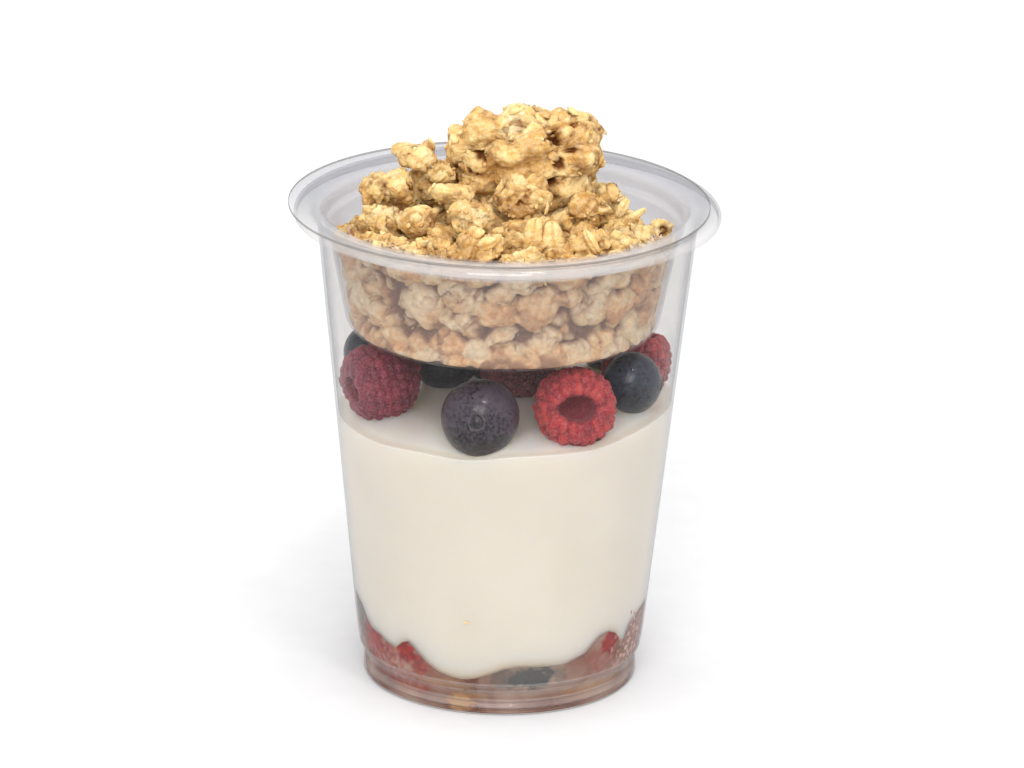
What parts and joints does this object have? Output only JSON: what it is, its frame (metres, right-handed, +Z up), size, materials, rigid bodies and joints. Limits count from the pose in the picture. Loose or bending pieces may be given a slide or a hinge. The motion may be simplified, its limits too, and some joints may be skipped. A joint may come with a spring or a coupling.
{
  "type": "yogurt parfait",
  "caption": "Yogurt parfait in a clear tapered plastic cup, with berries in juice below, berries on the yogurt and an insert cup of granola clusters in the rim.",
  "frame": {"origin": "centre of the cup's foot, on the surface it stands on", "axes": "+Z up along the cup's axis, -Y towards the side with the open raspberry and the crowned blueberry, +X to the right seen from there"},
  "size_m": [0.0986, 0.098, 0.1354],
  "materials": {
    "clear_cup": "clear, slightly hazy thermoformed plastic",
    "clear_insert": "clear, slightly hazy thermoformed plastic",
    "berry_juice": "cloudy pink-brown berry juice",
    "yogurt": "smooth, softly glossy cream yogurt",
    "granola": "dry, rough toasted oat clusters",
    "raspberry": "soft, velvety drupelets",
    "blueberry": "dark skin with a dull waxy bloom"
  },
  "bodies": {
    "root": {"outer_cup": "clear_cup", "insert_cup": "clear_insert", "juice_layer": "berry_juice", "yogurt_layer": "yogurt", "granola_heap": "granola", "raspberry_left": "raspberry", "raspberry_front": "raspberry", "raspberry_right": "raspberry", "raspberry_middle": "raspberry", "raspberry_back": "raspberry", "blueberry_front": "blueberry", "blueberry_right": "blueberry", "blueberry_left": "blueberry", "blueberry_middle": "blueberry", "blueberry_back": "blueberry", "blueberry_back_right": "blueberry"}
  },
  "joints": []
}
